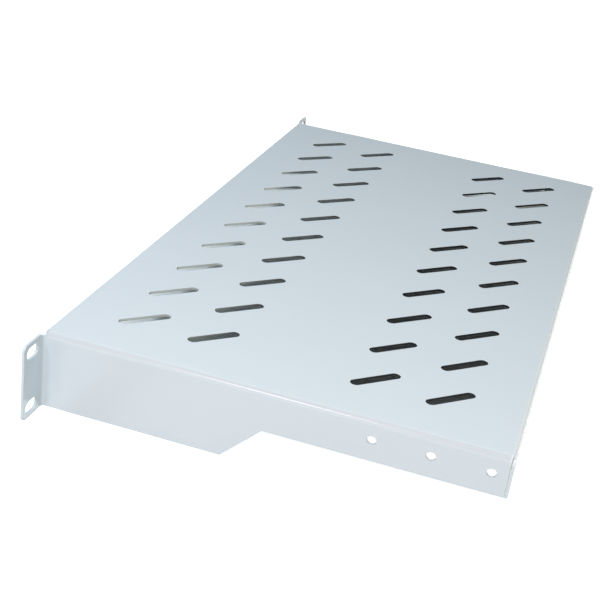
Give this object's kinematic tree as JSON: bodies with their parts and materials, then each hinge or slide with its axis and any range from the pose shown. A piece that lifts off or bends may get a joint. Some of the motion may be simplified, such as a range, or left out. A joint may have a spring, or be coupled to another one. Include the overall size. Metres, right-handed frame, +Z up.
{
  "type": "cantilever rack shelf",
  "caption": "Vented rack shelf folded from one sheet, with short front and rear lips, side flanges that step up to the rear, slotted ears and slanted vent slots in the deck.",
  "frame": {"origin": "centre of the four ear slots, on the front face of the ears", "axes": "+X to the right seen from the front, +Y from the front face to the rear, +Z up through the deck"},
  "size_m": [0.4826, 0.25, 0.044],
  "materials": {
    "powder_coat": "satin light grey powder coat on steel sheet"
  },
  "bodies": {
    "root": {"shelf": "powder_coat"}
  },
  "joints": []
}
